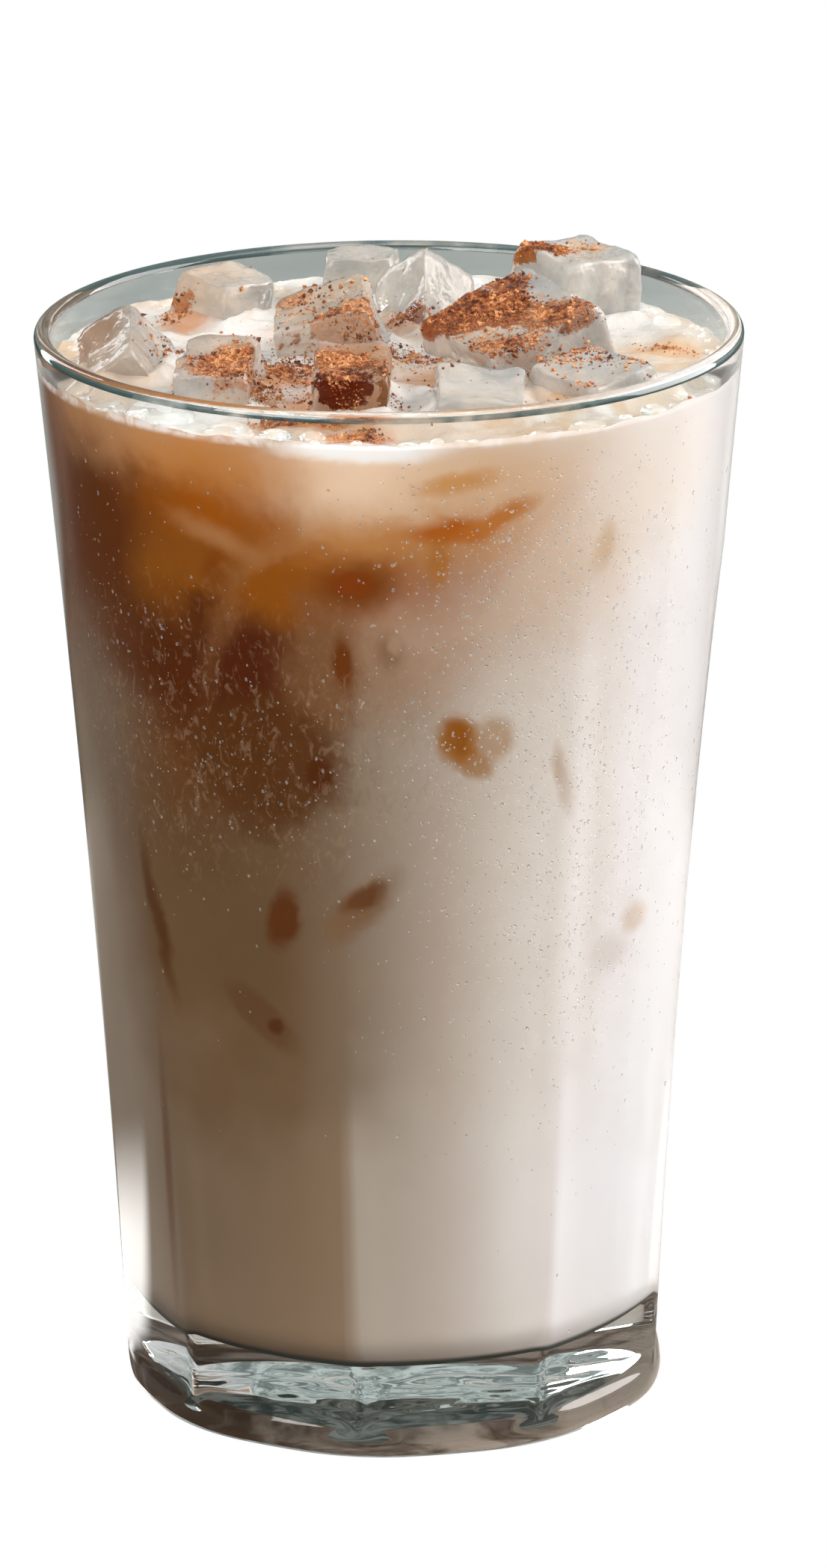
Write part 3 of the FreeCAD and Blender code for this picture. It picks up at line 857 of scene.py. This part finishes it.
def makeTopMaterial():
    shade = Shade("horchataTop")
    where = shade.position()
    mottle = shade.noise(where, 0.12, 3.0, 0.6, 0.5)
    base = shade.mix(shade.step(mottle, 0.44, 0.68), tone(196, 193, 189), tone(180, 158, 134))
    ragged = shade.shift(where, shade.noise(where, 0.3, 3.0, 0.65, 0.3, out="Color"), 4.5)
    for spot, blobs in ((where, "topTints"), (ragged, "topSpice")):
        for centre, half, strength, look in drink[blobs]:
            base = shade.mix(shade.blob(spot, centre, half, 0.6, strength), base, tone(*look))
    ripples = shade.bump(shade.noise(where, 0.45, 4.0, 0.6), 0.35)
    return shade.surface(shade.principled({"Base Color": base, "Roughness": 0.2, "IOR": 1.34,
                                           "Normal": ripples}))


def makeDrink():
    angles = np.linspace(-math.pi, math.pi, drink["sideSteps"], endpoint=False)
    reach, edge = drink["reach"], drink["edge"]
    outline = innerOutline(drinkLevel, drink["rows"])
    rings = [ring(r, angles, z - reach) if onFloor(z) else ring(r + reach, angles, z) for r, z in outline]
    sideRings = len(rings)
    wall = outline[-1][0] + reach
    # the top: it climbs the wall and the cubes, and is uneven like slush between them
    rim = ring(40.0, angles, 0.0)
    climb = 0.8 + 0.6 * wobble(rim, 7.0, 41) + 0.4 * wobble(rim, 2.0, 42)
    cubes = pieceTree(lambda name: name.endswith("_melted"))
    inwards = np.linspace(0, 1, drink["middleRings"])[1:-1]
    radii = [wall - np.linspace(0.0, edge, drink["edgeRings"]), (wall - edge) * (1.0 - inwards)]
    for radius in np.concatenate(radii):
        flat = ring(radius, angles, drinkLevel)
        atWall = math.exp(-(wall - radius) / drink["edgeFade"])
        gaps = np.array([cubes.find_nearest(Vector(point))[3] for point in flat])
        slush = drink["slush"] * (wobble(flat, 6.0, 43) + 0.5 * wobble(flat, 2.4, 44))
        slush += drink["climb"] * np.exp(-gaps / drink["cling"])
        flat[:, 2] += climb * atWall + (1.0 - atWall) * slush
        rings.append(flat)
    points, faces = closeRings(rings, drinkFoot - reach, drinkLevel)
    count = len(angles)
    topRings = len(rings) - 1 - sideRings
    onTop = [0] * (sideRings * count) + [1] * (topRings * count) + [0] * count + [1] * count
    piece = makePiece("drink", points, faces, [makeSideMaterial(), makeTopMaterial()])
    piece.data.polygons.foreach_set("material_index", onTop)
    place(piece, "horchata", "horchata")


makeDrink()


def scatterGrains(name, kind, tree, material):
    # small rough crumbs dropped from in front and above on to whatever they meet
    which = ("fine", "coarse").index(kind)
    chance = np.random.default_rng(cinnamon["seed"] + which)
    small, large = cinnamon[kind]
    corners = np.array([(1, 0, 0), (0, 1, 0), (-1, 0, 0), (0, -1, 0), (0, 0, 1), (0, 0, -1)], float)
    sides = [(0, 1, 4), (1, 2, 4), (2, 3, 4), (3, 0, 4), (1, 0, 5), (2, 1, 5), (3, 2, 5), (0, 3, 5)]
    down = Vector((0.0, cinnamon["lean"], -1.0)).normalized()
    points, faces = [], []
    for (cx, cy, cz), (a, b, _), degrees, *counts in cinnamon["patches"].values():
        turn = math.radians(degrees)
        for _ in range(counts[which]):
            spot = chance.normal(0.0, cinnamon["spread"], 2)
            while spot @ spot > cinnamon["cut"]:
                spot = chance.normal(0.0, cinnamon["spread"], 2)
            x, y = spot[0] * a, spot[1] * b
            spot = Vector((cx + x * math.cos(turn) - y * math.sin(turn),
                           cy + x * math.sin(turn) + y * math.cos(turn), cz))
            hit, normal, _, _ = tree.ray_cast(spot - down * cinnamon["above"], down)
            size = small + (large - small) * chance.random() ** 2.2
            stretch = size * chance.uniform(0.6, 1.25, 3)
            if hit is None or hit.z < cinnamon["lowest"] or math.hypot(hit.x, hit.y) > cinnamon["widest"]:
                continue
            spin = np.array(Euler(chance.uniform(0.0, math.tau, 3)).to_matrix())
            centre = np.array(hit + normal * size * 0.25)
            faces += [[len(points) + index for index in side] for side in sides]
            points += list((corners * stretch * chance.uniform(0.75, 1.2, (6, 1))) @ spin.T + centre)
    place(makePiece(name, points, faces, [material], smooth=False), "ice")


def makeCinnamon():
    tree = pieceTree(lambda name: name.endswith("_melted") or name == "drink")
    shade = Shade("cinnamon")
    where = shade.position()
    share = shade.step(shade.noise(where, 1.1, 1.0) + shade.noise(where, 0.22) * 0.7, 0.62, 1.08)
    stops = [(at, tone(*look)) for at, look in cinnamon["browns"]]
    brown = shade.add("ShaderNodeValToRGB", {"stops": stops}, {0: share})
    material = shade.surface(shade.principled({"Base Color": brown, "Roughness": 0.75}))
    scatterGrains("cinnamonPowder", "fine", tree, material)
    scatterGrains("cinnamonFlecks", "coarse", tree, material)


makeCinnamon()


def addDome(points, faces, centre, directions, size, sides, levels):
    # a closed drop on a surface: directions are across, up and out of it, and size is its half width,
    # half height and thickness
    (across, up, out), (wide, tall, thick) = directions, size
    start = len(points)
    for level in levels:
        r, lift = math.cos(level * math.pi / 2.0), thick * math.sin(level * math.pi / 2.0) - 0.02
        for t in np.arange(sides) * math.tau / sides:
            points.append(centre + across * wide * r * math.cos(t) + up * tall * r * math.sin(t) + out * lift)
    points += [centre + out * (thick - 0.02), centre - out * 0.04]
    faces += [[start + index for index in face] for face in gridQuads(len(levels), sides)]
    last, tip = start + (len(levels) - 1) * sides, start + len(levels) * sides
    faces += fanFaces(np.arange(sides) + last, tip)
    faces += fanFaces(np.arange(sides) + start, tip + 1, flip=True)


mist = {
    "count": 4600, "small": 0.08, "large": 0.24, "thin": 0.2, "lowest": 8.0, "highest": 134.0, "seed": 5,
    "sides": 7, "levels": (0.0, 0.45, 0.8),
    # where the droplets gather: angle, height, half spans and share of them
    "spots": ((27, 100, 17, 18, 0.44), (34, 72, 16, 14, 0.18), (-52, 106, 14, 14, 0.07),
              (-26, 90, 10, 7, 0.04), (24, 122, 18, 6, 0.10), (180, 92, 95, 26, 0.17)),
}


def outsideAt(angle, z):
    # a point on the outside of the glass
    radius = outerRadius(z)
    if z < tumbler["panelTop"]:
        half = math.pi / tumbler["panels"]
        local = (angle - math.radians(tumbler["panelTurn"])) % (2.0 * half) - half
        radius = float(panelRadius(local, radius, cornerShare(z)))
    return np.array([radius * math.sin(angle), -radius * math.cos(angle), z])


def makeMist():
    chance = np.random.default_rng(mist["seed"])
    shares = np.array([spot[4] for spot in mist["spots"]])
    points, faces = [], []
    for pick in chance.choice(len(shares), mist["count"], p=shares / shares.sum()):
        angle, height, spanAngle, spanHeight, _ = mist["spots"][pick]
        a = math.radians(angle + spanAngle * chance.normal())
        z = height + spanHeight * chance.normal()
        size = mist["small"] + (mist["large"] - mist["small"]) * chance.random() ** 3
        tall = chance.uniform(0.95, 1.5)
        if not mist["lowest"] < z < mist["highest"]:
            continue
        across = outsideAt(a + 0.004, z) - outsideAt(a - 0.004, z)
        up = outsideAt(a, z + 0.2) - outsideAt(a, z - 0.2)
        across, up = across / np.linalg.norm(across), up / np.linalg.norm(up)
        addDome(points, faces, outsideAt(a, z), (across, up, np.cross(across, up)),
                (size, size * tall, size * mist["thin"]), mist["sides"], mist["levels"])
    shade = Shade("water")
    water = shade.principled({"Base Color": (1.0, 0.985, 0.96), "Roughness": 0.2, "IOR": 1.33,
                              "Specular IOR Level": 0.2, "Transmission Weight": 0.94})
    place(makePiece("condensation", points, faces, [shade.surface(water)]), "glass", clear=True)


makeMist()


froth = {
    "count": 90, "small": 0.35, "large": 1.3, "seed": 9, "colour": (0.97, 0.985, 0.98),
    "sides": 28, "levels": (0.0, 0.12, 0.26, 0.42, 0.6, 0.8),
    # the large bubbles: angle, distance from the wall, half width and half depth in mm
    "bubbles": ((-45, 3.0, 5.2, 2.9), (-29, 2.4, 3.4, 2.3), (-58, 2.0, 2.8, 1.9), (-20, 1.9, 2.2, 1.7),
                (-69, 1.8, 2.0, 1.6), (-14, 3.6, 1.8, 1.4), (3, 1.4, 1.6, 1.2), (37, 2.2, 3.0, 1.8),
                (52, 1.6, 2.0, 1.4), (26, 1.2, 1.2, 1.0), (118, 1.8, 2.6, 1.6), (155, 2.2, 3.0, 2.0),
                (-150, 1.6, 2.2, 1.4), (-110, 2.2, 2.8, 1.8), (85, 1.4, 1.8, 1.2)),
}


def makeFroth():
    # bubbles on the drink where it meets the glass
    chance = np.random.default_rng(froth["seed"])
    tree = pieceTree(lambda name: name == "drink")
    bubbles = list(froth["bubbles"])
    for _ in range(froth["count"]):
        size = froth["small"] + (froth["large"] - froth["small"]) * chance.random() ** 2.5
        bubbles.append((chance.uniform(-180.0, 180.0), size * chance.uniform(0.8, 2.4), size,
                        size * chance.uniform(0.7, 1.0)))
    points, faces = [], []
    for angle, inward, wide, deep in bubbles:
        a = math.radians(angle)
        r = innerRadius(drinkLevel) - inward
        above = Vector((r * math.sin(a), -r * math.cos(a), tumbler["height"] + 20.0))
        hit = tree.ray_cast(above, Vector((0.0, 0.0, -1.0)))[0]
        directions = np.array(Matrix.Rotation(a, 3, "Z").transposed())
        addDome(points, faces, np.array(hit), directions, (wide, deep, 0.42 * deep + 0.2),
                froth["sides"], froth["levels"])
    shade = Shade("frothBubble")
    film = shade.principled({"Base Color": froth["colour"], "Roughness": 0.06, "IOR": 1.33,
                             "Transmission Weight": 0.9})
    place(makePiece("froth", points, faces, [shade.surface(film)]), "horchata", clear=True)


makeFroth()


# a painted dark green shade along the glass's lip, where thick glass shows a dark edge: a thin ring inside it
lipShade = {"width": 0.34, "depth": 0.16, "inset": 0.55, "lift": 0.1, "colour": (0.03, 0.06, 0.06)}


def makeLipShade():
    angles = np.linspace(-math.pi, math.pi, 360, endpoint=False)
    shoulder = tumbler["height"] - tumbler["lip"] / 2.0
    turns = np.linspace(0.0, math.tau, 8, endpoint=False)
    rings = [ring(outerRadius(shoulder) - lipShade["inset"] + lipShade["depth"] * math.cos(turn), angles,
                  shoulder + lipShade["lift"] + lipShade["width"] * math.sin(turn)) for turn in turns]
    points = np.concatenate(rings)
    faces = [[index % len(points) for index in face] for face in gridQuads(len(rings) + 1, len(angles))]
    shade = Shade("lipEdgeShade")
    where = shade.position()
    x, _, _ = shade.split(where)
    # painted shade, patchy and denser towards the left and right
    patchy = shade.step(shade.noise(where, 0.09, 3.0, 0.6) + abs(x) * 0.004, 0.42, 0.66, 0.25, 0.95)
    tint = shade.principled({"Base Color": lipShade["colour"], "Roughness": 0.4, "Alpha": patchy})
    place(makePiece("lipShade", points, faces, [shade.surface(tint)]), "glass", clear=True)


makeLipShade()
